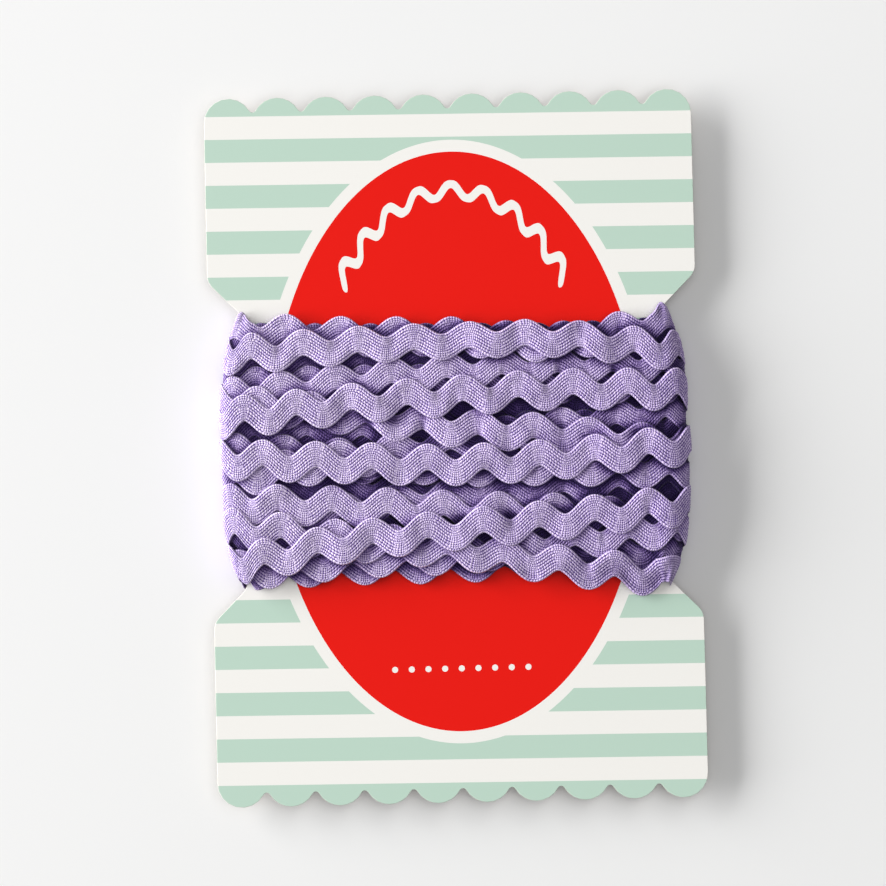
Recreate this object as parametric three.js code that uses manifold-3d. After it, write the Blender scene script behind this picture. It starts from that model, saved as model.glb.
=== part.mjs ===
// A card of ric rac: a wavy braid wound in many turns round the waist of a die-cut card that lies flat.
// Millimetres, +Z up. X runs across the card and +Y towards its top edge. The braid's back turns rest on z = 0.
import * as THREE from 'three';
import { mergeVertices } from 'three/addons/utils/BufferGeometryUtils.js';
import Module from 'manifold-3d';

const wasm = await Module();
wasm.setup();

// The card: scalloped top and bottom edges, and a notch in each side that holds the braid
const CARD = {
  halfWidth: 50,
  halfHeight: 72.5,
  thickness: 0.6,
  waistHalfWidth: 43,
  waistHalfLength: 27.8,
  notchHalfLength: 34.8,
  cornerRadius: 1.6,
};
const SCALLOP = { count: 10, radius: 5, valleyRadius: 0.75, arcSteps: 4 };

// The braid: the width of its band, the length of one wave, and half of the wave's height
const BRAID = { width: 5.5, pitch: 11.1, swing: 1.45 };

// The wound form, as heights above the card's face
const STACK = {
  clearance: 0.35,
  innerTop: 1.35,
  mainRoot: 0.9,
  outerTop: 2.95,
  innerLow: -22.9,
  innerHigh: 22,
};

// Where the turns leave the flat of the card, how far they reach past it, and how long their bend is
const EDGE = { flatHalf: 42.5, innerReach: 1.7, spread: 1.55, run: 12, innerSteps: 8 };

// A wave is drawn by three points at its crest and three at its trough, as shares of its length
const WAVE_POINTS = [0, 0.1, 0.4, 0.5, 0.6, 0.9];
// How far an edge point moves square to the wave instead of straight up the card
const SQUARE_SHARE = 0.4;
// Where two halves of a turn meet, each ends in a thinner tongue inside the other
const TONGUE = { length: 1, share: 0.7, inset: 0.25 };

// One row for each main turn, in winding order. left, middle and right are the y of its centre line on the
// front, crest is the x of one wave crest there, and front and back are its heights above the card's faces.
const TURNS = [
  { name: 'bottom edge', left: -23.9, middle: -23.5, right: -22.0, crest: -2.1, front: 1.9, back: 2.0 },
  { name: 'lower under', left: -13.0, middle: -10.5, right: -6.9, crest: -0.7, front: 2.0, back: 2.1 },
  { name: 'middle under', left: 9.2, middle: 4.0, right: -0.2, crest: 4.5, front: 2.1, back: 2.2 },
  { name: 'upper under', left: 11.4, middle: 15.2, right: 15.6, crest: -1.6, front: 2.2, back: 2.3 },
  { name: 'top edge', left: 24.2, middle: 22.7, right: 23.8, crest: 0.2, front: 2.3, back: 2.4 },
  { name: 'first over', left: 19.6, middle: 21.3, right: 19.4, crest: 3.2, front: 2.85, back: 2.95 },
  { name: 'second over', left: 7.6, middle: 10.3, right: 10.7, crest: 1.2, front: 2.95, back: 2.95 },
  { name: 'third over', left: -1.8, middle: -3.8, right: -1.2, crest: 5.6, front: 2.95, back: 2.95 },
  { name: 'fourth over', left: -10.5, middle: -12.8, right: -15.4, crest: -2.9, front: 2.6, back: 2.7 },
  { name: 'bottom over', left: -17.5, middle: -21.2, right: -24.6, crest: 0, front: 2.7, back: 2.6 },
  { name: 'last over', left: -22.3, middle: -16.8, right: -12.9, crest: 5.0, front: 2.95, back: 2.95 },
];

const FLAT = 2 * EDGE.flatHalf;
const HALF_TURN = FLAT + EDGE.run;
const LOOP = 2 * HALF_TURN;
const CARD_MIDDLE = STACK.outerTop + CARD.thickness / 2;

// The point at s along a turn, at y up the card and at a height above the card's face. s = 0 is the middle of
// the front and grows to the right, round the right edge, along the back and round the left edge.
function stackPoint(s, y, height) {
  const along = THREE.MathUtils.euclideanModulo(s + EDGE.flatHalf, LOOP);
  const front = along < HALF_TURN;
  const onSide = front ? along : along - HALF_TURN;
  const side = front ? 1 : -1;
  const depth = CARD.thickness / 2 + height;
  const reach = EDGE.innerReach + EDGE.spread * (height - STACK.clearance);
  const bend = (Math.max(0, onSide - FLAT) / EDGE.run) * Math.PI;
  const x = Math.min(onSide, FLAT) - EDGE.flatHalf + reach * Math.sin(bend);
  return new THREE.Vector3(side * x, y, CARD_MIDDLE + side * depth * Math.cos(bend));
}

// A closed solid through sections of four points each, in order round the section
function strip(sections, closed) {
  const positions = sections.flat().flatMap((point) => point.toArray());
  const triangles = [];
  const corner = (section, k) => (section % sections.length) * 4 + (k % 4);
  const spans = closed ? sections.length : sections.length - 1;
  for (let i = 0; i < spans; i += 1) {
    for (let k = 0; k < 4; k += 1) {
      triangles.push(corner(i, k), corner(i, k + 1), corner(i + 1, k + 1));
      triangles.push(corner(i, k), corner(i + 1, k + 1), corner(i + 1, k));
    }
  }
  if (!closed) {
    const last = sections.length - 1;
    triangles.push(corner(0, 3), corner(0, 2), corner(0, 1), corner(0, 3), corner(0, 1), corner(0, 0));
    triangles.push(corner(last, 0), corner(last, 1), corner(last, 2));
    triangles.push(corner(last, 0), corner(last, 2), corner(last, 3));
  }
  return new wasm.Manifold(new wasm.Mesh({
    numProp: 3,
    vertProperties: new Float32Array(positions),
    triVerts: new Uint32Array(triangles),
  }));
}

function section(s, low, high, bottom, top) {
  return [
    stackPoint(s, low, bottom),
    stackPoint(s, high, bottom),
    stackPoint(s, high, top),
    stackPoint(s, low, top),
  ];
}

// The closely packed inner turns, as one plain sleeve round the card
function innerTurns() {
  const stops = [];
  for (const start of [EDGE.flatHalf, EDGE.flatHalf + HALF_TURN]) {
    for (let i = 0; i <= EDGE.innerSteps; i += 1) {
      stops.push(start + (EDGE.run * i) / EDGE.innerSteps);
    }
  }
  const { innerLow, innerHigh, clearance, innerTop } = STACK;
  return strip(stops.map((s) => section(s, innerLow, innerHigh, clearance, innerTop)), true);
}

// The centre line's y on the front, through the row's three heights
function frontLine(turn, s) {
  const t = s / EDGE.flatHalf;
  const slope = (turn.right - turn.left) / 2;
  const bow = (turn.left + turn.right) / 2 - turn.middle;
  return turn.middle + slope * t + bow * t * t;
}

// Half a turn on the front or the back: its line, its wave and its height, as functions of s
function frontHalf(turn, heightBefore) {
  return {
    start: -HALF_TURN / 2,
    line: (s) => frontLine(turn, s),
    phase: (s) => (s - turn.crest) / BRAID.pitch,
    heights: [(heightBefore + turn.front) / 2, turn.front, (turn.front + turn.back) / 2],
  };
}

function backHalf(turn, next) {
  const start = HALF_TURN / 2;
  const from = frontLine(turn, start);
  const to = frontLine(next, -start);
  const phaseFrom = (start - turn.crest) / BRAID.pitch;
  const phaseNext = (-start - next.crest) / BRAID.pitch;
  const wholeWaves = Math.round(phaseFrom + HALF_TURN / BRAID.pitch - phaseNext);
  const waves = phaseNext + wholeWaves - phaseFrom;
  const share = (s) => (s - start) / HALF_TURN;
  return {
    start,
    line: (s) => from + (to - from) * share(s),
    phase: (s) => phaseFrom + waves * share(s),
    heights: [(turn.front + turn.back) / 2, turn.back, (turn.back + next.front) / 2],
  };
}

// The height eases from its value at the bend to its value on the flat
function heightAt(half, s) {
  const [before, flat, after] = half.heights;
  const fromStart = (s - half.start) / (EDGE.run / 2);
  const toEnd = (half.start + HALF_TURN - s) / (EDGE.run / 2);
  if (fromStart < 1) return THREE.MathUtils.lerp(before, flat, Math.max(0, fromStart));
  if (toEnd < 1) return THREE.MathUtils.lerp(after, flat, Math.max(0, toEnd));
  return flat;
}

// The values of s at which a half turn is drawn: its bends' own stops, and the wave's points clear of them
function waveStops(half) {
  const end = half.start + HALF_TURN;
  const first = half.phase(half.start);
  const perPhase = HALF_TURN / (half.phase(end) - first);
  const stops = [0, 0.25, 0.5].flatMap((share) => [half.start + share * EDGE.run, end - share * EDGE.run]);
  const bendStops = [...stops];
  for (let wave = Math.floor(first); wave <= half.phase(end); wave += 1) {
    for (const point of WAVE_POINTS) {
      const s = half.start + (wave + point - first) * perPhase;
      const clear = bendStops.every((stop) => Math.abs(stop - s) > 0.9);
      if (clear && s > half.start && s < end) stops.push(s);
    }
  }
  return stops.sort((a, b) => a - b);
}

// The braid's section at s: the band's two edges, at its root and at its top
function braidSection(half, s, widthShare, inset) {
  const angle = 2 * Math.PI * half.phase(s);
  const slope = Math.atan((-2 * Math.PI * BRAID.swing * Math.sin(angle)) / BRAID.pitch);
  const centre = half.line(s) + BRAID.swing * Math.cos(angle);
  const top = heightAt(half, s) - inset;
  const bottom = STACK.mainRoot + inset;
  const edge = (side, height) => {
    const across = (side * widthShare * BRAID.width) / 2;
    const back = SQUARE_SHARE * across * Math.sin(slope);
    const up = across * (1 - SQUARE_SHARE * (1 - Math.cos(slope)));
    return stackPoint(s - back, centre + up, height);
  };
  return [edge(-1, bottom), edge(1, bottom), edge(1, top), edge(-1, top)];
}

function halfTurnSolid(half) {
  const stops = waveStops(half);
  const end = half.start + HALF_TURN;
  const body = stops.map((s) => braidSection(half, s, 1, 0));
  const tongueBefore = braidSection(half, half.start - TONGUE.length, TONGUE.share, TONGUE.inset);
  const tongueAfter = braidSection(half, end + TONGUE.length, TONGUE.share, TONGUE.inset);
  return strip([tongueBefore, ...body, tongueAfter], false);
}

function toMesh(solid, name, color, roughness) {
  const { vertProperties, triVerts } = solid.getMesh();
  const geometry = new THREE.BufferGeometry();
  geometry.setAttribute('position', new THREE.BufferAttribute(vertProperties, 3));
  geometry.setIndex(new THREE.BufferAttribute(triVerts, 1));
  const material = new THREE.MeshStandardMaterial({ color, roughness, metalness: 0, flatShading: true });
  const mesh = new THREE.Mesh(geometry, material);
  mesh.name = name;
  return mesh;
}

// All the turns joined in one solid: the inner sleeve, and the main turns standing on it
function windingMesh() {
  let solid = innerTurns();
  TURNS.forEach((turn, i) => {
    const before = TURNS[(i + TURNS.length - 1) % TURNS.length];
    const next = TURNS[(i + 1) % TURNS.length];
    solid = solid.add(halfTurnSolid(frontHalf(turn, before.back)));
    solid = solid.add(halfTurnSolid(backHalf(turn, next)));
  });
  return toMesh(solid, 'ric_rac_winding', 0xb3a2cf, 0.85);
}

// A row of scallops along one edge, from the side at x = -side * halfWidth to the other
function addScallops(shape, side) {
  const centreY = side * (CARD.halfHeight - SCALLOP.radius);
  const pitch = (2 * CARD.halfWidth) / SCALLOP.count;
  const reach = SCALLOP.radius + SCALLOP.valleyRadius;
  const lean = Math.acos(pitch / 2 / reach);
  const valleyY = centreY + side * Math.sqrt(reach * reach - (pitch * pitch) / 4);
  const turned = side > 0 ? 0 : Math.PI;
  for (let i = 0; i < SCALLOP.count; i += 1) {
    const x = side * (-CARD.halfWidth + pitch * (i + 0.5));
    const from = turned + Math.PI - (i === 0 ? 0 : lean);
    const to = turned + (i === SCALLOP.count - 1 ? 0 : lean);
    shape.absarc(x, centreY, SCALLOP.radius, from, to, true);
    if (i < SCALLOP.count - 1) {
      const valleyX = x + (side * pitch) / 2;
      const valleyEnd = turned + 2 * Math.PI - lean;
      shape.absarc(valleyX, valleyY, SCALLOP.valleyRadius, to + Math.PI, valleyEnd, false);
    }
  }
}

// A corner rounded between two straight edges
function addCorner(shape, before, corner, after) {
  const point = new THREE.Vector2(...corner);
  const towards = (other) => new THREE.Vector2(...other).sub(point).setLength(CARD.cornerRadius).add(point);
  const start = towards(before);
  const finish = towards(after);
  shape.lineTo(start.x, start.y);
  shape.quadraticCurveTo(point.x, point.y, finish.x, finish.y);
}

// The notch in one side, from its upper corner down on the right and from its lower corner up on the left
function addNotch(shape, side) {
  const outer = side * CARD.halfWidth;
  const inner = side * CARD.waistHalfWidth;
  const corners = [
    [outer, side * (CARD.halfHeight - SCALLOP.radius)],
    [outer, side * CARD.notchHalfLength],
    [inner, side * CARD.waistHalfLength],
    [inner, -side * CARD.waistHalfLength],
    [outer, -side * CARD.notchHalfLength],
    [outer, -side * (CARD.halfHeight - SCALLOP.radius)],
  ];
  for (let i = 1; i < corners.length - 1; i += 1) {
    addCorner(shape, corners[i - 1], corners[i], corners[i + 1]);
  }
  shape.lineTo(...corners[corners.length - 1]);
}

function cardMesh() {
  const outline = new THREE.Shape();
  outline.moveTo(-CARD.halfWidth, CARD.halfHeight - SCALLOP.radius);
  addScallops(outline, 1);
  addNotch(outline, 1);
  addScallops(outline, -1);
  addNotch(outline, -1);
  const geometry = new THREE.ExtrudeGeometry(outline, {
    depth: CARD.thickness,
    bevelEnabled: false,
    curveSegments: SCALLOP.arcSteps,
  });
  geometry.deleteAttribute('normal');
  geometry.deleteAttribute('uv');
  const material = new THREE.MeshStandardMaterial({ color: 0xf4f2ee, roughness: 0.6, metalness: 0 });
  const mesh = new THREE.Mesh(mergeVertices(geometry, 1e-4), material);
  mesh.name = 'card';
  mesh.position.z = CARD_MIDDLE - CARD.thickness / 2;
  return mesh;
}

const cardOfRicRac = new THREE.Group();
cardOfRicRac.add(cardMesh(), windingMesh());

export default cardOfRicRac;
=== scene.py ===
"""A card of ric rac: lilac wavy braid wound round the waist of a printed die-cut card, lying face up."""
import math
from collections import namedtuple
from functools import partial

import bmesh
import bpy
import numpy as np
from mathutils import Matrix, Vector


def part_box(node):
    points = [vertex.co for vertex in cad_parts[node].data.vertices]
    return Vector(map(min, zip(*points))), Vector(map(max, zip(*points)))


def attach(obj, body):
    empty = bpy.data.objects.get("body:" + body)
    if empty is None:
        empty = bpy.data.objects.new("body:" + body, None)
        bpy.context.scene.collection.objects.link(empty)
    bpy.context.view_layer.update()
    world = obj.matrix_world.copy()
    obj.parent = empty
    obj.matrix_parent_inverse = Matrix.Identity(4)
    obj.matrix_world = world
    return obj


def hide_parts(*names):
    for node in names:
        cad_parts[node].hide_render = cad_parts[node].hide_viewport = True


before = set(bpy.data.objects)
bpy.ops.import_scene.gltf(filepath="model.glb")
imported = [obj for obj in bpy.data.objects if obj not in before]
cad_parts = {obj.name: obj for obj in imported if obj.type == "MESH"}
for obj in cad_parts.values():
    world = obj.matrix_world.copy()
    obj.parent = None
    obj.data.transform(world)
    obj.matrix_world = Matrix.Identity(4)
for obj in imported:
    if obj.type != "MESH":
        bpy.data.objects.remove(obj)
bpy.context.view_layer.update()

bl_info = {
    "name": "Card of ric rac",
    "version": (1, 0, 0),
    "blender": (4, 5, 0),
    "location": "View3D > Sidebar > Ric rac",
    "description": "Builds a printed card with ric rac braid wound round its waist, and a stage for it",
    "category": "Object",
}

MM = 0.001

# The turns, in the order they were wound. The first five values are the y in millimetres of the turn's
# centre line on the front, at the places x of KNOTS. crest is the x of one wave crest there. swing is half
# the wave's height in the middle, and end_swing that at the card's sides: a turn pulled tighter waves less.
# inward and onward are how closely its waves follow each other as it comes to the front on the left and
# leaves it on the right, against those of the other turns.
Turn = namedtuple("Turn", "far_left left middle right far_right crest swing end_swing inward onward",
                  defaults=(1.5, 1.5, 1.0, 1.0))
KNOTS = (-42.0, -21.0, 0.0, 21.0, 42.0)
TURNS = (
    Turn(-19.0, -20.0, -20.8, -20.8, -20.9, 2.0),
    Turn(6.8, 6.5, 6.2, 5.9, 5.6, -2.0),
    Turn(19.4, 19.2, 18.9, 18.5, 18.2, 2.8),
    Turn(1.6, 0.9, 0.2, -0.3, -0.8, -3.5),
    Turn(22.1, 21.5, 21.1, 20.8, 21.4, -5.4),
    Turn(17.0, 16.5, 16.0, 15.5, 15.0, -6.6),
    Turn(11.0, 10.3, 9.5, 9.0, 8.8, 8.0),
    Turn(4.4, 3.9, 3.1, 2.8, 3.2, 3.8),
    Turn(-9.0, -8.4, -7.9, -6.5, -4.6, -0.9),
    Turn(-13.0, -12.6, -12.5, -13.2, -14.0, 4.0),
    Turn(-17.2, -17.4, -18.0, -18.2, -18.6, 7.0),
    Turn(-24.1, -23.6, -23.6, -22.9, -21.9, -2.0),
    Turn(-7.8, -8.3, -9.5, -10.7, -10.9, -0.3),
    Turn(-14.0, -12.5, -10.0, -8.7, -7.0, -0.9),
    Turn(-1.9, -3.0, -3.5, -3.9, -4.0, -1.9),
    Turn(-0.3, -2.0, -4.0, -4.3, -5.5, -0.9),
    Turn(-5.0, -2.0, 0.7, 3.4, 6.2, -1.2),
    Turn(13.2, 13.0, 12.8, 12.3, 11.8, 4.4),
    Turn(11.4, 13.6, 15.3, 15.8, 15.5, -1.5),
    Turn(24.3, 22.9, 22.4, 20.9, 24.2, -0.1, 1.50, 1.50, 0.5, 0.6),
    Turn(19.8, 21.0, 21.5, 21.5, 18.9, 3.4, 1.18, 1.62),
    Turn(9.3, 6.8, 3.9, 2.0, -0.5, 4.8),
    Turn(7.1, 9.1, 10.3, 11.1, 10.7, 1.7, 1.57, 1.75),
    Turn(-1.8, -2.9, -3.7, -3.0, -1.1, 5.7, 1.63, 1.63),
    Turn(-10.8, -11.8, -13.2, -14.2, -15.9, -2.6, 1.70, 1.55),
    Turn(-24.1, -22.2, -21.7, -19.9, -17.6, 1.1, 1.60, 1.60, 0.4, 1.0),
    Turn(-16.0, -18.8, -21.0, -24.6, -27.4, -1.9, 1.50, 1.80, 1.0, 0.25),
    Turn(-22.5, -18.8, -16.9, -15.3, -13.3, 5.3, 1.61, 1.68),
)

# A turn's path, in millimetres. It runs flat over the front for FLAT_HALF to each side of the middle, over
# the right edge in a bend BEND_RUN long, and the same over the back and the left edge. STEP is the distance
# between its points.
FLAT_HALF = 41.0
BEND_RUN = 17.0
HALF_LOOP = 2 * FLAT_HALF + BEND_RUN
LOOP = 2 * HALF_LOOP
STEP = 0.5

# A bend's shape. The innermost braid reaches past the flat part by RIGHT_REACH or LEFT_REACH, and each
# millimetre that a turn lies higher adds REACH_GROWTH. At WINDING_HALF above or below the middle, the share
# SIDE_LOSS of that is lost. BEND_ROUNDNESS is how soon a bend comes far out, where 1 is evenly and 2 as
# round as a rod. BEND_SQUARENESS is how long it stays level before it drops over the edge.
RIGHT_REACH = 5.3
LEFT_REACH = 5.4
REACH_GROWTH = 0.7
WINDING_HALF = 26.0
SIDE_LOSS = 0.38
BEND_ROUNDNESS = 1.2
BEND_SQUARENESS = 4

# The waves are even as far as WAVE_EVEN_TO from the middle of the front. Past that they crowd together, by
# WAVE_CROWDING waves for each square millimetre. The edges and the back hold BACK_WAVES times as many for
# their length as the front does.
WAVE_EVEN_TO = 30.0
WAVE_CROWDING = 4.7e-4
BACK_WAVES = 1.1

# How far a pass over the back carries on the way it left the front, and the most that the turns may stand
# off the card there
BACK_EASE = 3.0
BACK_LIMIT = 2.9

# How the braid is laid, in millimetres. The innermost turn lies INNER_HEIGHT above the card, and each turn
# adds STACK_STEP where it crosses another: less than its thickness, because soft braid presses in. It sags
# by SAG_PER_MM2 for each square millimetre away from a bump that carries it, as far as BRIDGE_REACH. Its
# two halves rest on what is under each of them, MIDDLE_OVERLAP past its middle, and one is at most
# MOST_LEAN the higher. It leans over LEAN_WIDTH of its width. REST_BLUR and JOIN_FADE smooth its rest along
# it, and where turns join.
INNER_HEIGHT = 0.35
STACK_STEP = 0.45
SAG_PER_MM2 = 0.12
BRIDGE_REACH = 9.0
MIDDLE_OVERLAP = 0.3
MOST_LEAN = 0.9
LEAN_WIDTH = 3.0
REST_BLUR = 1.2
JOIN_FADE = 5.0

# How far the band's section turns square to its path, from 0, upright, to 1, square
SQUARE_SHARE = 0.4

# The height map that the turns are stacked on: its cells, its reach up and down the card, how many places
# across the band are laid on it, and how far past its own ends a turn is laid to rest smoothly there
CELL = 0.4
MAP_HALF_HEIGHT = 34.0
PLACES_ACROSS = 23
MARGIN = 12.0

# The band's section. At its selvedges it loses EDGE_THINNING of its thickness, and EDGE_SQUARENESS is how
# late. Its underside is given as places, as shares of half its width, and their heights.
EDGE_THINNING = 0.45
EDGE_SQUARENESS = 8
UNDERSIDE = ((0.96, 0.12), (0.5, 0.0), (0.0, 0.0), (-0.5, 0.0), (-0.96, 0.12))

# The painted shade between the turns. A point looks round on rings, each a radius and its weight. What stands
# RING_FULL above it there shades it fully, and on the far ring what stands FAR_FULL above FAR_CLEARANCE. It
# is covered by what lies straight above it in the same way. The near shade starts at NEAR_START, grows by
# NEAR_GAIN, and NEAR_CONTRAST keeps it out of shallow places. Each millimetre to the right, away from the
# window, adds GAP_SHADE_PER_MM as a share of the shade in the gaps, and OPEN_SHADE_PER_MM everywhere: a
# painted falloff of the window's light.
RINGS = ((0.8, 0.3), (1.6, 0.35), (2.6, 0.35))
RING_POINTS = 8
RING_FULL = 0.6
FAR_RADIUS = 4.5
FAR_CLEARANCE = 0.3
FAR_FULL = 1.5
FAR_SHARE = 0.2
COVER_CLEARANCE = 0.25
COVER_FULL = 0.5
NEAR_START = 0.03
NEAR_GAIN = 1.8
NEAR_CONTRAST = 1.9
GAP_SHADE_PER_MM = 0.010
OPEN_SHADE_PER_MM = 0.0008

# The painted shade of the bends starts this far before a bend and ends as far behind it
BEND_SHADE_MARGIN = 3.0

# The least back_share of what lies on the back, and the corners that the braid shades smoothly over
ON_BACK = 0.9
BRAID_SMOOTH_BELOW = math.radians(70)


def linear(hex_colour):
    """A node colour from an sRGB hex value."""
    channels = [int(hex_colour[i:i + 2], 16) / 255 for i in (1, 3, 5)]
    return tuple(c / 12.92 if c <= 0.04045 else ((c + 0.055) / 1.055) ** 2.4 for c in channels) + (1.0,)


def hex_property(name, description, default):
    return bpy.props.StringProperty(name=name, description=description, default=default)


def length_property(name, description, millimetres):
    return bpy.props.FloatProperty(name=name, description=description, default=millimetres * MM, min=0.0,
                                   unit="LENGTH")


def in_mm(length):
    """A length property in millimetres, without the stray digits of single precision."""
    return round(length / MM, 4)


class RicRacCardSettings(bpy.types.PropertyGroup):
    stripe_count: bpy.props.IntProperty(
        name="Stripes", description="Printed bands between the scalloped ends", default=29, min=1)
    stripe_field: length_property("Striped length", "Length of the striped part", 136.8)
    oval_width: length_property("Oval width", "Width of the printed oval", 75.9)
    oval_height: length_property("Oval height", "Height of the printed oval", 118.6)
    oval_border: length_property("Oval border", "Width of the oval's pale border", 2.45)
    cream: hex_property("Cream", "Bare card and pale print", "#F6F4EF")
    green: hex_property("Green", "Printed stripes", "#BFD9C9")
    red: hex_property("Red", "Printed oval", "#EC1408")
    cut_edge: hex_property("Cut edge", "Paper fibres along the die-cut edge", "#C9C2B6")
    board: hex_property("Back", "Uncoated back of the board", "#B4AA9B")


class RicRacBraidSettings(bpy.types.PropertyGroup):
    pitch: length_property("Wave length", "Length of one wave", 11.3)
    width: length_property("Band width", "Width of the woven band", 5.5)
    thickness: length_property("Thickness", "Thickness of the braid", 0.74)
    rib_count: bpy.props.IntProperty(
        name="Ribs", description="Woven ribs across the band", default=9, min=3)
    rib_height: length_property("Rib height", "How far the ribs stand proud", 0.15)
    stitch: length_property("Stitch length", "Length of one stitch", 0.5)
    # The yarn's colour holds painted light on its stitches and painted shade between them
    light: hex_property("Yarn", "Yarn on top of a rib", "#EFDEFF")
    shade: hex_property("Yarn shade", "Yarn between two ribs", "#522C92")
    # The colour of the painted shade at its deepest, between and under the turns
    deep: hex_property("Deep shade", "What the yarn is multiplied by deep under other turns", "#3A2A58")


class RicRacStageSettings(bpy.types.PropertyGroup):
    floor: hex_property("Floor", "Smooth pale surface", "#F4F4F4")
    window_power: bpy.props.FloatProperty(
        name="Window light", description="Power of the wide soft light on the left", default=177.0,
        unit="POWER")
    ceiling_power: bpy.props.FloatProperty(
        name="Ceiling light", description="Power of the soft light overhead", default=7.3, unit="POWER")
    lens: bpy.props.FloatProperty(
        name="Lens", description="Focal length in mm", default=85.0, unit="CAMERA")


# Materials

MATH = "ShaderNodeMath"
MAP_RANGE = "ShaderNodeMapRange"
NOISE = "ShaderNodeTexNoise"
SEPARATE = "ShaderNodeSeparateXYZ"
ATTRIBUTE = "ShaderNodeAttribute"

# The sockets of a Mix node that mixes colours
MIX = "ShaderNodeMix"
FACTOR, FIRST, SECOND = 0, 6, 7
MIXED = 2


def fill_inputs(node, inputs):
    """Gives each of a node's named or numbered inputs its value or link."""
    for key, value in inputs.items():
        if isinstance(value, bpy.types.NodeSocket):
            node.id_data.links.new(value, node.inputs[key])
        else:
            node.inputs[key].default_value = value


def add_node(tree, kind, inputs=(), output=0, **settings):
    """Adds a node with its settings, fills its inputs, which may be a plain list, and gives one output."""
    node = tree.nodes.new(kind)
    for key, value in settings.items():
        setattr(node, key, value)
    fill_inputs(node, inputs if isinstance(inputs, dict) else dict(enumerate(inputs)))
    return node.outputs[output]


def new_material(name):
    """A material, a function that adds nodes to it, and its shader."""
    material = bpy.data.materials.new(name)
    material.use_nodes = True
    tree = material.node_tree
    return material, partial(add_node, tree), tree.nodes["Principled BSDF"]


def blended(add, factor, first, second):
    """A value between two others, by a factor."""
    difference = add(MATH, (second, first), operation="SUBTRACT")
    return add(MATH, (factor, difference, first), operation="MULTIPLY_ADD")


# The weave, whose relief is painted into the yarn's colour: painted shade in its gaps and grooves, and
# painted light on its stitches. DRIFT is how far the stitches drift along their rib, and how often. On the
# slopes of the wave and on its bends, gap and groove are how deep it is between two stitches and between two
# ribs, and on the bends there are more of both. STEEPNESS is where the one passes into the other. A stitch is
# painted light all over from FULL_RELIEF up, by LEAST_FULLNESS and up to FULLNESS_RANGE more at random, and
# loses the share
# BEND_PAINTED_SHADE over the card's edge, a painted shade of the bends. STITCH_HEIGHT is in millimetres.
# SELVEDGE is how far out it lies, as a share of the width, and how much lighter it is painted, a painted
# highlight.
DRIFT = {"stitches": 1.5, "per_mm": 0.6, "detail": 2.0}
SLOPE_WEAVE = {"gap": 0.7, "groove": 1.05}
BEND_WEAVE = {"gap": 0.85, "groove": 0.75, "stitches": 1.3, "ribs": 4 / 3}
STEEPNESS = {"bend": 0.2, "slope": 0.8}
LEAST_FULLNESS = 0.75
FULLNESS_RANGE = 0.55
BEND_PAINTED_SHADE = 0.2
FULL_RELIEF = 0.65
STITCH_HEIGHT = 0.15
SELVEDGE = {"start": 0.44, "full": 0.48, "share": 0.5}


def woven_cotton(settings):
    """Ric rac is woven from soft-spun cotton: matt, in ribs of small round stitches with painted shade in the
    gaps.
    """
    material, add, shader = new_material("woven lilac cotton")
    place = add("ShaderNodeUVMap", uv_map="braid")
    along, across = add(SEPARATE, (place,)).node.outputs[:2]
    rib = add(MATH, (across, settings.rib_count), operation="MULTIPLY")
    rib_number = add(MATH, (rib,), operation="FLOOR")
    stitch = stitch_count(add, settings, place, along, rib_number)
    relief = weave_relief(add, stitch, rib)
    tone = yarn_tone(add, stitch, rib_number, relief)
    light = linear(settings.light)
    # Painted shade in the gaps and grooves, and painted light on the raised stitches
    yarn = add(MIX, {FACTOR: tone, FIRST: linear(settings.shade), SECOND: light}, MIXED, data_type="RGBA")
    # A painted highlight along the selvedges
    yarn = add(MIX, {FACTOR: selvedge(add, across), FIRST: yarn, SECOND: light}, MIXED, data_type="RGBA")
    # Painted shade: deep between the turns, where light reaches the yarn only off other lilac yarn
    painted_shade = add(ATTRIBUTE, output="Color", attribute_name="painted_shade")
    colour = add(MIX, {FACTOR: 1.0, FIRST: yarn, SECOND: painted_shade}, MIXED, data_type="RGBA",
                 blend_type="MULTIPLY")
    bump = add("ShaderNodeBump", {"Strength": 1.0, "Distance": STITCH_HEIGHT * MM, "Height": relief})
    fill_inputs(shader, {"Base Color": colour, "Normal": bump, "Roughness": 0.9, "Sheen Weight": 0.1,
                         "Sheen Roughness": 0.5, "Specular IOR Level": 0.15})
    return material


def stitch_count(add, settings, place, along, rib_number):
    """How many stitches lie before a place. Each rib's start at a place of their own and drift along it."""
    rib_start = add("ShaderNodeTexWhiteNoise", {"W": rib_number}, "Value", noise_dimensions="1D")
    drift = add(NOISE, {"Vector": place, "Scale": DRIFT["per_mm"], "Detail": DRIFT["detail"]})
    drifted_start = add(MATH, (drift, DRIFT["stitches"], rib_start), operation="MULTIPLY_ADD")
    return add(MATH, (along, 1 / in_mm(settings.stitch), drifted_start), operation="MULTIPLY_ADD")


def weave_relief(add, stitch, rib):
    """On the slopes of the wave the ribs draw apart in long stitches. On its bends they crowd together."""
    slope_relief = stitch_relief(add, stitch, rib, SLOPE_WEAVE)
    bend_stitch = add(MATH, (stitch, BEND_WEAVE["stitches"]), operation="MULTIPLY")
    bend_rib = add(MATH, (rib, BEND_WEAVE["ribs"]), operation="MULTIPLY")
    bend_relief = stitch_relief(add, bend_stitch, bend_rib, BEND_WEAVE)
    steep = add(ATTRIBUTE, output="Fac", attribute_name="steep")
    on_slope = add(MAP_RANGE, {"Value": steep, "From Min": STEEPNESS["bend"], "From Max": STEEPNESS["slope"]},
                   interpolation_type="SMOOTHSTEP")
    return blended(add, on_slope, bend_relief, slope_relief)


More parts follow.
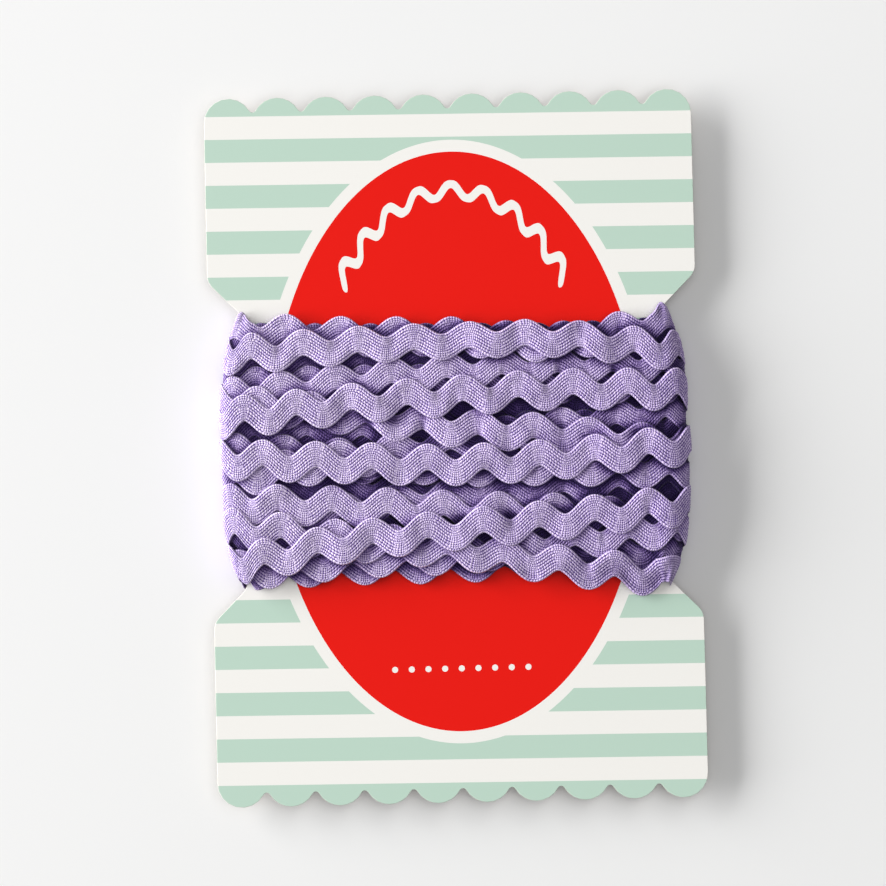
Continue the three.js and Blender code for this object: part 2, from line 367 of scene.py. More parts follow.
def stitch_relief(add, stitch, rib, weave):
    """How far a place stands out: 1 in the middle of a stitch, and lower at its ends and sides."""
    ends = add(MATH, (centred_square(add, stitch), weave["gap"]), operation="MULTIPLY")
    sides = add(MATH, (centred_square(add, rib), weave["groove"], ends), operation="MULTIPLY_ADD")
    return add(MATH, (1.0, sides), operation="SUBTRACT", use_clamp=True)


def centred_square(add, count):
    """0 in the middle between two whole numbers, and 1 at each of them."""
    fraction = add(MATH, (count,), operation="FRACT")
    centred = add(MATH, (fraction, 2.0, -1.0), operation="MULTIPLY_ADD")
    return add(MATH, (centred, centred), operation="MULTIPLY")


def yarn_tone(add, stitch, rib_number, relief):
    """Painted light on the stitches, over painted shade. Soft-spun yarn is uneven, so some catch more than
    others.
    """
    stitch_number = add(MATH, (stitch,), operation="FLOOR")
    which = add("ShaderNodeCombineXYZ", (stitch_number, rib_number))
    luck = add("ShaderNodeTexWhiteNoise", {"Vector": which}, "Value", noise_dimensions="2D")
    fullness = add(MATH, (luck, FULLNESS_RANGE, LEAST_FULLNESS), operation="MULTIPLY_ADD")
    # Painted shade over the bends: going over the card's edge, the stitches are painted darker
    over_bend = add(ATTRIBUTE, output="Fac", attribute_name="over_bend")
    unshaded_share = add(MATH, (over_bend, -BEND_PAINTED_SHADE, 1.0), operation="MULTIPLY_ADD")
    fullness = add(MATH, (fullness, unshaded_share), operation="MULTIPLY")
    raised = add(MAP_RANGE, {"Value": relief, "From Min": 0.0, "From Max": FULL_RELIEF},
                 interpolation_type="SMOOTHSTEP")
    return add(MATH, (raised, fullness), operation="MULTIPLY", use_clamp=True)


def selvedge(add, across):
    """How much painted highlight a place gets in the selvedge, whose yarns are floats that catch more light.
    """
    off_middle = add(MATH, (across, 0.5), operation="SUBTRACT")
    distance = add(MATH, (off_middle,), operation="ABSOLUTE")
    inside = add(MAP_RANGE, {"Value": distance, "From Min": SELVEDGE["start"], "From Max": SELVEDGE["full"]},
                 interpolation_type="SMOOTHSTEP")
    return add(MATH, (inside, SELVEDGE["share"]), operation="MULTIPLY")


# The print, in millimetres. It doesn't lie quite square to the die-cut edges. The wavy line keeps inset
# from the oval's rim, swings to both sides of its path in waves of that length, and its path's length grows
# from the top by the oval's half width and by lengthening times the third power of the angle. The dots
# stand in a row.
PRINT_TURN = math.radians(0.5)
OVAL_CENTRE = (0.3, 1.3)
WAVY_LINE = {"inset": 8.0, "swing": 1.3, "length": 6.8, "half_thickness": 0.8, "waves": 4.5,
             "lengthening": 5.7}
DOTS = {"spacing": 3.4, "radius": 0.62, "y": -46.5, "half_row": 15.3}

# How upright a normal is at least on the card's face or back, and the size and depth of its clumps of fibre
LEVEL = 0.8
PAPER_GRAIN = 0.4
PAPER_GRAIN_DEPTH = 0.02


def printed_card(settings):
    """Coated white card, offset printed: smooth and slightly glossy, even ink and a faint paper grain."""
    material, add, shader = new_material("printed coated card")
    place = add("ShaderNodeTexCoord", output="Object")
    east, north = add(SEPARATE, (place,)).node.outputs[:2]
    x = add(MATH, (east, 1 / MM), operation="MULTIPLY")
    y = add(MATH, (north, 1 / MM), operation="MULTIPLY")
    cream = linear(settings.cream)
    stripes = add(MIX, {FACTOR: in_green(add, settings, x, y), FIRST: cream, SECOND: linear(settings.green)},
                  MIXED, data_type="RGBA")
    printed = printed_oval(add, settings, x, y, stripes)
    # Only the printed face has ink: the back and the cut edge are bare
    normal = add("ShaderNodeNewGeometry", output="Normal")
    upward = add(SEPARATE, (normal,), "Z")
    is_face = add(MATH, (upward, LEVEL), operation="GREATER_THAN")
    is_back = add(MATH, (upward, -LEVEL), operation="LESS_THAN")
    bare = add(MIX, {FACTOR: is_back, FIRST: linear(settings.cut_edge), SECOND: linear(settings.board)},
               MIXED, data_type="RGBA")
    colour = add(MIX, {FACTOR: is_face, FIRST: bare, SECOND: printed}, MIXED, data_type="RGBA")
    grain = add(NOISE, {"Vector": place, "Scale": 1 / (PAPER_GRAIN * MM), "Detail": 4.0})
    bump = add("ShaderNodeBump", {"Strength": 0.15, "Distance": PAPER_GRAIN_DEPTH * MM, "Height": grain})
    fill_inputs(shader, {"Base Color": colour, "Normal": bump, "Roughness": 0.55, "Specular IOR Level": 0.12})
    return material


def in_green(add, settings, x, y):
    """1 in the green stripes and at the scalloped ends past them, and 0 between the stripes."""
    field = in_mm(settings.stripe_field)
    pair = 2 * field / settings.stripe_count
    print_y = add(MATH, (x, math.tan(PRINT_TURN), y), operation="MULTIPLY_ADD")
    count = add(MATH, (print_y, 1 / pair, field / 2 / pair), operation="MULTIPLY_ADD")
    fraction = add(MATH, (count,), operation="FRACT")
    in_stripe = add(MATH, (fraction, 0.5), operation="GREATER_THAN")
    off_middle = add(MATH, (print_y,), operation="ABSOLUTE")
    at_end = add(MATH, (off_middle, field / 2), operation="GREATER_THAN")
    return add(MATH, (in_stripe, at_end), operation="MAXIMUM")


def printed_oval(add, settings, x, y, stripes):
    """The stripes with the oval, its pale border and its ornament printed over them."""
    cream = linear(settings.cream)
    x = add(MATH, (x, OVAL_CENTRE[0]), operation="SUBTRACT")
    y = add(MATH, (y, OVAL_CENTRE[1]), operation="SUBTRACT")
    half_width, half_height = in_mm(settings.oval_width) / 2, in_mm(settings.oval_height) / 2
    border = in_mm(settings.oval_border)
    in_border = inside_oval(add, x, y, half_width + border, half_height + border)
    in_oval = inside_oval(add, x, y, half_width, half_height)
    inset = WAVY_LINE["inset"]
    line = wavy_line(add, x, y, half_width - inset, half_height - inset)
    ornament = add(MATH, (line, dot_row(add, x, y)), operation="MAXIMUM")
    in_ornament = add(MATH, (in_oval, ornament), operation="MULTIPLY")
    colour = stripes
    for place, ink in ((in_border, cream), (in_oval, linear(settings.red)), (in_ornament, cream)):
        colour = add(MIX, {FACTOR: place, FIRST: colour, SECOND: ink}, MIXED, data_type="RGBA")
    return colour


def inside_oval(add, x, y, half_width, half_height):
    """1 inside an ellipse and 0 outside it."""
    scaled_x = add(MATH, (x, half_width), operation="DIVIDE")
    scaled_y = add(MATH, (y, half_height), operation="DIVIDE")
    return add(MATH, (length_of(add, scaled_x, scaled_y), 1.0), operation="LESS_THAN")


def length_of(add, x, y):
    """The length of a line with the given x and y."""
    y_squared = add(MATH, (y, y), operation="MULTIPLY")
    squared = add(MATH, (x, x, y_squared), operation="MULTIPLY_ADD")
    return add(MATH, (squared,), operation="SQRT")


def wavy_line(add, x, y, half_width, half_height):
    """1 on a wavy line that follows an ellipse to both sides of its top, and 0 off it."""
    scaled_x = add(MATH, (x, half_width), operation="DIVIDE")
    scaled_y = add(MATH, (y, half_height), operation="DIVIDE")
    length = length_from_top(add, scaled_x, scaled_y, half_width)
    offset = offset_from_ellipse(add, scaled_x, scaled_y, half_width, half_height)
    turn_per_mm = 2 * math.pi / WAVY_LINE["length"]
    turn = add(MATH, (length, turn_per_mm), operation="MULTIPLY")
    cosine = add(MATH, (turn,), operation="COSINE")
    target = add(MATH, (cosine, WAVY_LINE["swing"]), operation="MULTIPLY")
    off_target = add(MATH, (offset, target), operation="SUBTRACT")
    distance = add(MATH, (off_target,), operation="ABSOLUTE")
    # Where the line runs steeply, the distance square to it is shorter than that from the rim
    sine = add(MATH, (turn,), operation="SINE")
    slope = add(MATH, (sine, turn_per_mm * WAVY_LINE["swing"]), operation="MULTIPLY")
    miss = add(MATH, (distance, length_of(add, slope, 1.0)), operation="DIVIDE")
    return add(MATH, (miss, rounded_half(add, length)), operation="LESS_THAN")


def length_from_top(add, scaled_x, scaled_y, half_width):
    """The length along an ellipse from its top, close enough for even waves."""
    signed = add(MATH, (scaled_x, scaled_y), operation="ARCTAN2")
    angle = add(MATH, (signed,), operation="ABSOLUTE")
    cubed = add(MATH, (angle, 3.0), operation="POWER")
    even = add(MATH, (angle, half_width), operation="MULTIPLY")
    return add(MATH, (cubed, WAVY_LINE["lengthening"], even), operation="MULTIPLY_ADD")


def offset_from_ellipse(add, scaled_x, scaled_y, half_width, half_height):
    """How far outside an ellipse a place is, or inside it if less than 0."""
    share = length_of(add, scaled_x, scaled_y)
    past_one = add(MATH, (share, 1.0), operation="SUBTRACT")
    excess = add(MATH, (share, past_one), operation="MULTIPLY")
    growth_x = add(MATH, (scaled_x, half_width), operation="DIVIDE")
    growth_y = add(MATH, (scaled_y, half_height), operation="DIVIDE")
    return add(MATH, (excess, length_of(add, growth_x, growth_y)), operation="DIVIDE")


def rounded_half(add, length):
    """Half the wavy line's thickness: even along it, and round at its end."""
    half = WAVY_LINE["half_thickness"]
    end = WAVY_LINE["waves"] * WAVY_LINE["length"]
    into_end = add(MATH, (length, 1 / half, 1 - end / half), operation="MULTIPLY_ADD", use_clamp=True)
    squared = add(MATH, (into_end, into_end), operation="MULTIPLY")
    left = add(MATH, (1.0, squared), operation="SUBTRACT")
    share = add(MATH, (left,), operation="SQRT")
    return add(MATH, (share, half), operation="MULTIPLY")


def dot_row(add, x, y):
    """1 in a row of dots, and 0 outside them."""
    column = add(MATH, (x, DOTS["spacing"] / 2), operation="PINGPONG")
    row = add(MATH, (y, DOTS["y"]), operation="SUBTRACT")
    in_dot = add(MATH, (length_of(add, column, row), DOTS["radius"]), operation="LESS_THAN")
    off_middle = add(MATH, (x,), operation="ABSOLUTE")
    in_row = add(MATH, (off_middle, DOTS["half_row"]), operation="LESS_THAN")
    return add(MATH, (in_dot, in_row), operation="MULTIPLY")


# A haze on the board, a few hand widths across
HAZE = {"per_metre": 3.0, "detail": 2.0, "colour": "#F2F2F1"}


def smooth_table_top(settings):
    """A matt white laminate board: even, with no grain that shows."""
    material, add, shader = new_material("matt white board")
    place = add("ShaderNodeTexCoord", output="Object")
    haze = add(NOISE, {"Vector": place, "Scale": HAZE["per_metre"], "Detail": HAZE["detail"]})
    tone = add(MIX, {FACTOR: haze, FIRST: linear(settings.floor), SECOND: linear(HAZE["colour"])}, MIXED,
               data_type="RGBA")
    fill_inputs(shader, {"Base Color": tone, "Roughness": 0.85, "Specular IOR Level": 0.2})
    return material


# The card

# Corners of the card's shape that are nearer than MERGED are one, and bends flatter than STRAIGHT are none.
# Its cut edges are the corners sharper than CUT_CORNER that are level within LEVEL_WITHIN, and they are
# pressed soft by SOFTENED. It shades smoothly over corners less than SMOOTH_BELOW, but not on its two large
# faces, whose normals are upright by LARGE_FACE.
MERGED = 0.001
STRAIGHT = math.radians(1)
CUT_CORNER = math.radians(60)
LEVEL_WITHIN = 0.01
SOFTENED = 0.07
SMOOTH_BELOW = math.radians(35)
LARGE_FACE = 0.99


def select_edges(mesh_object, wanted):
    """Selects, in edit mode, the edges that a test picks."""
    bm = bmesh.from_edit_mesh(mesh_object.data)
    for part in (bm.verts, bm.edges, bm.faces):
        for element in part:
            element.select = False
    for edge in bm.edges:
        if wanted(edge):
            edge.select_set(True)
    bmesh.update_edit_mesh(mesh_object.data)


def activate(mesh_object):
    bpy.ops.object.select_all(action="DESELECT")
    mesh_object.select_set(True)
    bpy.context.view_layer.objects.active = mesh_object


def is_cut_edge(edge):
    """Whether an edge of the card is a level corner between a face and its cut side."""
    rise = abs(edge.verts[0].co.z - edge.verts[1].co.z)
    return edge.is_manifold and edge.calc_face_angle(0) > CUT_CORNER and rise < LEVEL_WITHIN * MM


class RICRAC_OT_card(bpy.types.Operator):
    """Make the printed card from its die-cut shape, with its cut edges pressed soft"""
    bl_idname = "ricrac.card"
    bl_label = "Card"

    def execute(self, context):
        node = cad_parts["card"]
        card = bpy.data.objects.new("printed_card", node.data.copy())
        context.scene.collection.objects.link(card)
        activate(card)
        bpy.ops.object.mode_set(mode="EDIT")
        bpy.ops.mesh.select_all(action="SELECT")
        bpy.ops.mesh.remove_doubles(threshold=MERGED * MM)
        bpy.ops.mesh.dissolve_limited(angle_limit=STRAIGHT)
        select_edges(card, is_cut_edge)
        bpy.ops.mesh.bevel(offset=SOFTENED * MM, segments=2, clamp_overlap=True)
        bpy.ops.object.mode_set(mode="OBJECT")
        bpy.ops.object.shade_smooth_by_angle(angle=SMOOTH_BELOW)
        for polygon in card.data.polygons:
            polygon.use_smooth = polygon.use_smooth and abs(polygon.normal.z) < LARGE_FACE
        card.data.materials.clear()
        card.data.materials.append(printed_card(context.scene.ricrac_card))
        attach(card, "root")
        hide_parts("card")
        return {"FINISHED"}


# The braid

def hermite(t, start, end, start_slope, end_slope):
    """A smooth curve from start to end, with the given slopes per unit of t."""
    return ((2 * t ** 3 - 3 * t ** 2 + 1) * start + (t ** 3 - 2 * t ** 2 + t) * start_slope
            + (3 * t ** 2 - 2 * t ** 3) * end + (t ** 3 - t ** 2) * end_slope)


def front_line(turn, s):
    """The height up the card of a turn's centre line, at places across the front."""
    heights = np.array(turn[:len(KNOTS)])
    spacing = KNOTS[1] - KNOTS[0]
    slopes = np.gradient(heights)
    place = np.clip((s - KNOTS[0]) / spacing, 0, len(KNOTS) - 1)
    knot = np.minimum(place.astype(int), len(KNOTS) - 2)
    return hermite(place - knot, heights[knot], heights[knot + 1], slopes[knot], slopes[knot + 1])


def front_phase(pitch, turn, s):
    """How many waves lie between a turn's crest and a place across the front."""
    crowding = np.sign(s) * WAVE_CROWDING * np.maximum(0, np.abs(s) - WAVE_EVEN_TO) ** 2
    return (s - turn.crest) / pitch + crowding


def front_pass(pitch, turn, s):
    """A turn's height up the card, its wave's phase and its swing, at places across the front."""
    swing = turn.swing + (turn.end_swing - turn.swing) * (s / FLAT_HALF) ** 2
    return front_line(turn, s), front_phase(pitch, turn, s), swing


def back_pass(pitch, turn, following, share):
    """The same on the way round the back to the next turn, and how many waves it is from crest to crest."""
    side = np.array([FLAT_HALF])
    onward_slope = (turn.far_right - turn.right) * BACK_EASE
    inward_slope = (following.left - following.far_left) * BACK_EASE
    line = hermite(share, front_line(turn, side), front_line(following, -side), onward_slope, inward_slope)
    usual = (LOOP - 2 * FLAT_HALF) / pitch * BACK_WAVES
    leaving = front_phase(pitch, turn, side)
    coming = front_phase(pitch, following, -side)
    crest_to_crest = np.round(leaving + usual - coming)
    phase = hermite(share, leaving, crest_to_crest + coming, usual * turn.onward, usual * following.inward)
    swing = turn.end_swing + (following.end_swing - turn.end_swing) * share
    return (line, phase, swing), crest_to_crest[0]


def whole_path(pitch):
    """The whole braid's path as arrays: distance along it, height up the card, wave's phase, and swing.

    Distance 0 is the middle of the first turn's front, and each loop adds one turn.
    """
    along = np.arange(-HALF_LOOP, LOOP * (len(TURNS) - 1) + HALF_LOOP + STEP / 2, STEP)
    rest = np.empty((3, len(along)))
    waves_before = 0.0
    for k in range(-1, len(TURNS)):
        turn = TURNS[max(k, 0)]
        following = TURNS[min(k + 1, len(TURNS) - 1)]
        s = along - k * LOOP
        front = np.abs(s) <= FLAT_HALF
        back = (s > FLAT_HALF) & (s < LOOP - FLAT_HALF)
        share = (s[back] - FLAT_HALF) / (LOOP - 2 * FLAT_HALF)
        rest[:, front] = front_pass(pitch, turn, s[front])
        rest[:, back], crest_to_crest = back_pass(pitch, turn, following, share)
        rest[1, front | back] += waves_before
        waves_before += crest_to_crest
    return along, *rest


class HeightMap:
    """How high the winding stands above the card's face, at each place round the loop and up the card."""

    def __init__(self):
        self.columns = int(round(LOOP / CELL))
        self.rows = int(round(2 * MAP_HALF_HEIGHT / CELL))
        self.heights = np.full((self.columns, self.rows), INNER_HEIGHT)

    def cells(self, s, y):
        column = np.floor(s / CELL).astype(int) % self.columns
        row = np.clip(np.floor((y + MAP_HALF_HEIGHT) / CELL).astype(int), 0, self.rows - 1)
        return column, row

    def at(self, s, y):
        return self.heights[self.cells(s, y)]

    def raise_to(self, s, y, height):
        np.maximum.at(self.heights, self.cells(s, y), height)

    def close_pinholes(self):
        """Fills single cells that no place of the band fell in."""
        before, behind = np.roll(self.heights, 1, 0), np.roll(self.heights, -1, 0)
        self.heights = np.maximum(self.heights, np.minimum(before, behind))


def band_points(path, across, pitch):
    """The places s and y of points across the band, for each point of the path."""
    along, line, phase, swing = (values[:, None] for values in path)
    slope = np.arctan(-2 * np.pi * swing * np.sin(2 * np.pi * phase) / pitch)
    centre = line + swing * np.cos(2 * np.pi * phase)
    s = along - SQUARE_SHARE * across * np.sin(slope)
    y = centre + across * (1 - SQUARE_SHARE * (1 - np.cos(slope)))
    return s, y


def blurred(values, reach):
    """A running average along the path, weighted towards the middle."""
    weights = np.hanning(2 * reach + 3)[1:-1]
    padded = np.pad(values, (reach, reach), mode="edge")
    return np.convolve(padded, weights / weights.sum(), mode="valid")


def bridged(values):
    """The lowest line that passes over every bump without bending more sharply than the braid can."""
    reach = int(round(BRIDGE_REACH / STEP))
    padded = np.pad(values, (reach, reach), mode="edge")
    highest = np.full_like(values, -np.inf)
    for shift in range(-reach, reach + 1):
        sag = SAG_PER_MM2 * (shift * STEP) ** 2
        highest = np.maximum(highest, padded[reach + shift:reach + shift + len(values)] - sag)
    return highest


def turn_span(k, count):
    """The first point of a turn in the path's arrays, and one past its last, which the next turn shares."""
    per_turn = int(round(LOOP / STEP))
    return k * per_turn, min((k + 1) * per_turn + 1, count)


def limit_lean(low, high):
    """Lifts the lower half of the band so that it leans no more than it can."""
    lean = np.clip(high - low, -MOST_LEAN, MOST_LEAN)
    top = np.maximum(low, high)
    low[:] = top - np.maximum(lean, 0)
    high[:] = top - np.maximum(-lean, 0)


def leaning(across, low, high):
    """The heights of places across the band that leans from its lower to its upper half."""
    share = np.clip(across[None, :] / LEAN_WIDTH + 0.5, 0, 1)
    return low[:, None] * (1 - share) + high[:, None] * share


def wind(settings, path):
    """Lays the turns on each other in order, and gives the heights of the band's two halves and the map."""
    width, pitch = in_mm(settings.width), in_mm(settings.pitch)
    stacked = HeightMap()
    across = np.linspace(-width / 2, width / 2, PLACES_ACROSS)
    low, high = np.empty(len(path[0])), np.empty(len(path[0]))
    margin = int(round(MARGIN / STEP))
    for k in range(len(TURNS)):
        first, last = turn_span(k, len(low))
        wide = slice(max(0, first - margin), min(len(low), last + margin))
        own = slice(first - wide.start, last - wide.start)
        s, y = band_points([values[wide] for values in path], across[None, :], pitch)
        support = stacked.at(s, y)
        for half, side in ((low, across < MIDDLE_OVERLAP), (high, across > -MIDDLE_OVERLAP)):
            rest = blurred(bridged(support[:, side].max(axis=1)), int(round(REST_BLUR / STEP)))[own]
            if k > 0:
                jump = half[first] - rest[0]
                rest = rest + jump * np.exp(-np.arange(len(rest)) * STEP / JOIN_FADE)
            half[first:last] = rest
        limit_lean(low[first:last], high[first:last])
        top = leaning(across, low[first:last], high[first:last]) + STACK_STEP
        stacked.raise_to(s[own], y[own], top)
        stacked.close_pinholes()
    return low, high, stacked


def to_space(s, y, height):
    """Points in metres, from the distance round the loop, the height up the card and that above its face."""
    card_low, card_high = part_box("card")
    middle = (card_low.z + card_high.z) / 2 / MM
    half_card = (card_high.z - card_low.z) / 2 / MM
    along = np.mod(s + FLAT_HALF, LOOP)
    front = along < HALF_LOOP
    side = np.where(front, 1.0, -1.0)
    on_side = np.where(front, along, along - HALF_LOOP)
    reach = np.where(front, RIGHT_REACH, LEFT_REACH) + REACH_GROWTH * (height - INNER_HEIGHT)
    reach = reach * (1 - SIDE_LOSS * (y / WINDING_HALF) ** 4)
    to_rim = 1 - np.maximum(0, on_side - 2 * FLAT_HALF) / BEND_RUN * 2
    out = 1 - np.abs(to_rim) ** BEND_ROUNDNESS
    x = np.minimum(on_side, 2 * FLAT_HALF) - FLAT_HALF + reach * out
    level = np.sqrt(1 - (1 - np.abs(to_rim)) ** BEND_SQUARENESS)
    z = middle + side * (half_card + height) * np.sign(to_rim) * level
    return np.stack([side * x, np.broadcast_to(y, x.shape), z], axis=-1) * MM


def far_round(s):
    """How far a place is from the middle of the front, along the loop."""
    return np.abs(np.mod(s + HALF_LOOP, LOOP) - HALF_LOOP)


def back_share(s):
    """How far round a place is towards the back: 0 on the front, 1 on the back, and smooth over the bends."""
    t = np.clip((far_round(s) - FLAT_HALF) / BEND_RUN, 0, 1)
    return t * t * (3 - 2 * t)


def section_profile(settings):
    """The band's cross section, with two points to a rib: places across it, and their heights."""
    half, rib_height = in_mm(settings.width) / 2, in_mm(settings.rib_height)
    across = np.linspace(-half, half, 2 * settings.rib_count + 1)
    ribs = np.where(np.arange(len(across)) % 2, rib_height / 2, -rib_height / 2)
    fullness = np.sqrt(np.clip(1 - (np.abs(across) / half) ** EDGE_SQUARENESS, 0, 1))
    body = (in_mm(settings.thickness) - rib_height / 2) * (1 - EDGE_THINNING + EDGE_THINNING * fullness)
    under_across, under = np.transpose(UNDERSIDE)
    return np.concatenate([across, under_across * half]), np.concatenate([body + ribs * fullness, under])


def ring_shade(stacked, s, y, height, radius, clearance, full):
    """How much of a ring round a point stands above it, where full above the clearance counts as all."""
    total = np.zeros_like(height)
    for i in range(RING_POINTS):
        angle = 2 * math.pi * i / RING_POINTS
        around = stacked.at(s + radius * math.cos(angle), y + radius * math.sin(angle))
        total += np.clip((around - height - clearance) / full, 0, 1)
    return total / RING_POINTS


def depth_below(stacked, s, y, height):
    """How deep a point lies among the turns round it, from 0 in the open to 1 or more in a hole."""
    around = sum(weight * ring_shade(stacked, s, y, height, radius, 0.0, RING_FULL)
                 for radius, weight in RINGS)
    covered = np.clip((stacked.at(s, y) - height - COVER_CLEARANCE) / COVER_FULL, 0, 1)
    near = np.clip(np.maximum(around * NEAR_GAIN - NEAR_START, covered), 0, 1)
    far = ring_shade(stacked, s, y, height, FAR_RADIUS, FAR_CLEARANCE, FAR_FULL)
    return near ** NEAR_CONTRAST + FAR_SHARE * far


# A braid that is laid: its path, the heights of its two halves, the height map of all its turns, and how
# much the back is pressed together
Winding = namedtuple("Winding", "path low high stacked squash")


def lay_strip(strip, settings, winding, first, last):
    """Lays a flat strip's grid of points along its turn, and gives it its map and its painted shade."""
    across, profile = section_profile(settings)
    path = [values[first:last] for values in winding.path]
    s, y = band_points(path, across[None, :], in_mm(settings.pitch))
    height = leaning(across, winding.low[first:last], winding.high[first:last]) + profile[None, :]
    squashed = height * (1 + (winding.squash - 1) * back_share(s))
    points = to_space(s, y, squashed)
    mesh = strip.data
    mesh.vertices.foreach_set("co", points.reshape(-1))
    lay_map(mesh, path[0], across, in_mm(settings.width))
    steep = np.broadcast_to(np.abs(np.sin(2 * np.pi * path[2][:, None])), s.shape)
    # How far into a bend a point is, for the painted shade of the bends
    over_edge = np.clip((far_round(s) - FLAT_HALF + BEND_SHADE_MARGIN) / (BEND_RUN + 2 * BEND_SHADE_MARGIN), 0, 1)
    for name, values in (("steep", steep), ("over_bend", np.sin(np.pi * over_edge))):
        mesh.attributes.new(name, "FLOAT", "POINT").data.foreach_set("value", values.reshape(-1))
    # Painted shade that the yarn is multiplied by: deeper among the turns, and to the right, away from the
    # window
    x = points[..., 0] / MM
    depth = depth_below(winding.stacked, s, y, height) * (1 + GAP_SHADE_PER_MM * x)
    depth = np.clip(depth + OPEN_SHADE_PER_MM * (x + FLAT_HALF), 0, 1)
    painted_shade = np.power(np.array(linear(settings.deep)), depth[..., None])
    mesh.attributes.new("painted_shade", "FLOAT_COLOR", "POINT").data.foreach_set("color", painted_shade.reshape(-1))
    mesh.update()


def lay_map(mesh, along, across, width):
    """The strip's own map: millimetres along the braid, and its share of the width across it."""
    index = np.empty(len(mesh.loops), dtype=np.int32)
    mesh.loops.foreach_get("vertex_index", index)
    u = along[index // len(across)]
    v = across[index % len(across)] / width + 0.5
    mesh.uv_layers.new(name="braid").data.foreach_set("uv", np.stack([u, v], axis=-1).reshape(-1))


def on_long_side(columns, edge):
    """Whether an edge runs along one of a strip's two long open sides."""
    first, second = (vertex.index % columns for vertex in edge.verts)
    return edge.is_boundary and first == second and first in (0, columns - 1)


def close_strip(strip, columns):
    """Joins the strip's long sides under it, and fills its two ends."""
    activate(strip)
    bpy.ops.object.mode_set(mode="EDIT")
    bpy.ops.mesh.select_all(action="DESELECT")
    select_edges(strip, partial(on_long_side, columns))
    bpy.ops.mesh.bridge_edge_loops()
    select_edges(strip, lambda edge: edge.is_boundary)
    bpy.ops.mesh.edge_face_add()
    bpy.ops.mesh.select_all(action="SELECT")
    bpy.ops.mesh.normals_make_consistent(inside=False)
    bpy.ops.object.mode_set(mode="OBJECT")
    bpy.ops.object.shade_smooth_by_angle(angle=BRAID_SMOOTH_BELOW)


class RICRAC_OT_braid(bpy.types.Operator):
    """Wind the braid round the card, turn by turn, each laid on those before it"""
    bl_idname = "ricrac.braid"
    bl_label = "Braid"

    def execute(self, context):
        settings = context.scene.ricrac_braid
        path = whole_path(in_mm(settings.pitch))
        low, high, stacked = wind(settings, path)
        on_back = back_share(path[0]) > ON_BACK
        tallest = (np.maximum(low, high) + in_mm(settings.thickness))[on_back].max()
        winding = Winding(path, low, high, stacked, squash=min(1.0, BACK_LIMIT / tallest))
        cotton = woven_cotton(settings)
        columns = len(section_profile(settings)[0])
        for k in range(len(TURNS)):
            first, last = turn_span(k, len(low))
            bpy.ops.object.select_all(action="DESELECT")
            bpy.ops.mesh.primitive_grid_add(x_subdivisions=columns - 1, y_subdivisions=last - first - 1)
            strip = context.object
            strip.name = strip.data.name = f"braid_turn_{k + 1:02d}"
            lay_strip(strip, settings, winding, first, last)
            close_strip(strip, columns)
            strip.data.materials.append(cotton)
            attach(strip, "root")
            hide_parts("ric_rac_winding")
        return {"FINISHED"}


# The stage, in metres, but the camera's place in millimetres and its turn in degrees

BOARD_SIZE = 4.0
WINDOW = {"place": (-2.4, 0.6, 0.61), "width": 3.0, "height": 1.15, "towards": (0.0, 0.0, 0.05)}
CEILING = {"place": (0.3, 0.1, 1.35), "width": 1.6, "height": 1.6, "towards": (0.1, 0.0, 0.0)}
ROOM_LIGHT = {"colour": "#FFFFFF", "strength": 0.2}
CAMERA = {"place": (-3.17, -8.77, 431.23), "turn": (1.291, -0.064, -1.325), "sensor": 36.0, "nearest": 0.01}


def area_light(name, layout, power):
    """A soft light of the given layout, turned towards a place."""
    place = Vector(layout["place"])
    bpy.ops.object.light_add(type="AREA", location=place)
    light = bpy.context.object
    light.name = name
    light.data.shape = "RECTANGLE"
    light.data.size, light.data.size_y = layout["width"], layout["height"]
    light.data.energy = power
    light.rotation_euler = (Vector(layout["towards"]) - place).to_track_quat("-Z", "Y").to_euler()


def light_room(scene):
    """Lights the scene evenly from all round, a little, as a pale room does."""
    room = bpy.data.worlds.new("pale room")
    room.use_nodes = True
    fill_inputs(room.node_tree.nodes["Background"], {"Color": linear(ROOM_LIGHT["colour"]),
                                                     "Strength": ROOM_LIGHT["strength"]})
    scene.world = room
    scene.view_settings.view_transform = "Standard"


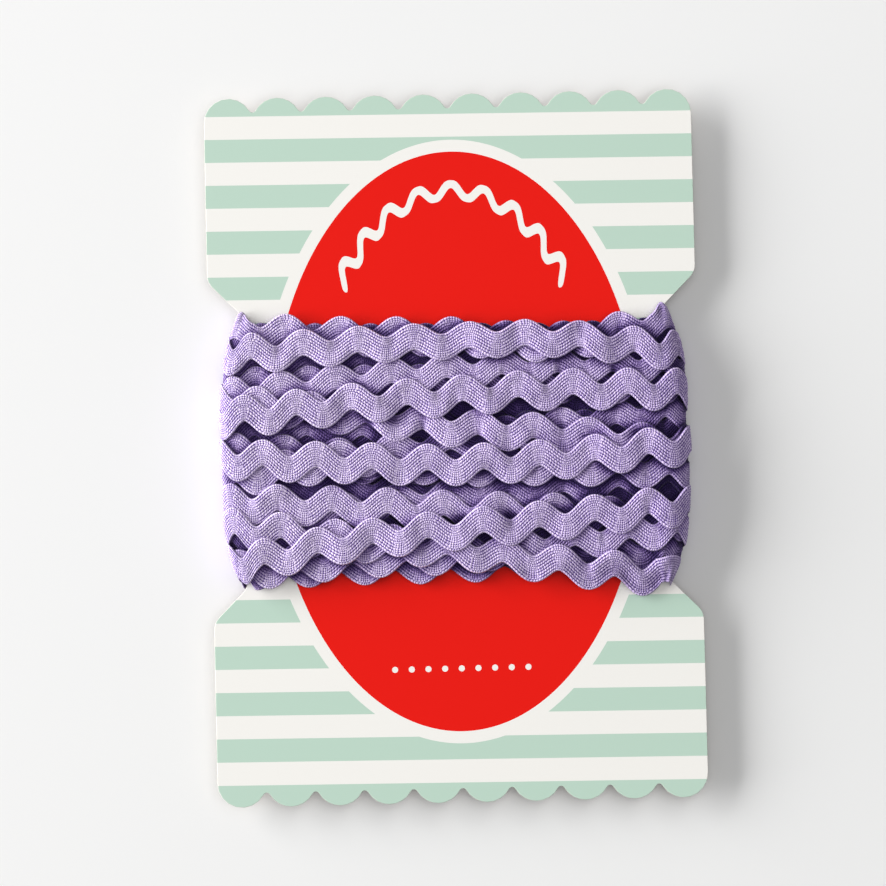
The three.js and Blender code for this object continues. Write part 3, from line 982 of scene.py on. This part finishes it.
def place_camera(scene, lens):
    """Stands the camera where the photograph was taken from."""
    turn = [math.radians(angle) for angle in CAMERA["turn"]]
    bpy.ops.object.camera_add(location=Vector(CAMERA["place"]) * MM, rotation=turn)
    camera = bpy.context.object
    camera.data.lens = lens
    camera.data.sensor_width = CAMERA["sensor"]
    camera.data.clip_start = CAMERA["nearest"]
    scene.camera = camera


class RICRAC_OT_stage(bpy.types.Operator):
    """Set the card on a pale board, lit by a wide soft window on the left, under a camera"""
    bl_idname = "ricrac.stage"
    bl_label = "Stage"

    def execute(self, context):
        settings = context.scene.ricrac_stage
        bpy.ops.object.select_all(action="DESELECT")
        bpy.ops.mesh.primitive_plane_add(size=BOARD_SIZE)
        board = context.object
        board.name = "board"
        board.data.materials.append(smooth_table_top(settings))
        area_light("window", WINDOW, settings.window_power)
        area_light("ceiling", CEILING, settings.ceiling_power)
        light_room(context.scene)
        place_camera(context.scene, settings.lens)
        return {"FINISHED"}


class RICRAC_PT_panel(bpy.types.Panel):
    """The pieces of the card of ric rac"""
    bl_idname = "RICRAC_PT_panel"
    bl_label = "Card of ric rac"
    bl_space_type = "VIEW_3D"
    bl_region_type = "UI"
    bl_category = "Ric rac"

    def draw(self, context):
        for settings, operator in ((context.scene.ricrac_card, RICRAC_OT_card),
                                   (context.scene.ricrac_braid, RICRAC_OT_braid),
                                   (context.scene.ricrac_stage, RICRAC_OT_stage)):
            for name in settings.__annotations__:
                self.layout.prop(settings, name)
            self.layout.operator(operator.bl_idname)


CLASSES = (RicRacCardSettings, RicRacBraidSettings, RicRacStageSettings, RICRAC_OT_card, RICRAC_OT_braid,
           RICRAC_OT_stage, RICRAC_PT_panel)


def register():
    for each in CLASSES:
        bpy.utils.register_class(each)
    bpy.types.Scene.ricrac_card = bpy.props.PointerProperty(type=RicRacCardSettings)
    bpy.types.Scene.ricrac_braid = bpy.props.PointerProperty(type=RicRacBraidSettings)
    bpy.types.Scene.ricrac_stage = bpy.props.PointerProperty(type=RicRacStageSettings)


def unregister():
    del bpy.types.Scene.ricrac_stage
    del bpy.types.Scene.ricrac_braid
    del bpy.types.Scene.ricrac_card
    for each in reversed(CLASSES):
        bpy.utils.unregister_class(each)


def main():
    register()
    bpy.ops.ricrac.card()
    bpy.ops.ricrac.braid()
    bpy.ops.ricrac.stage()


if __name__ == "__main__":
    main()
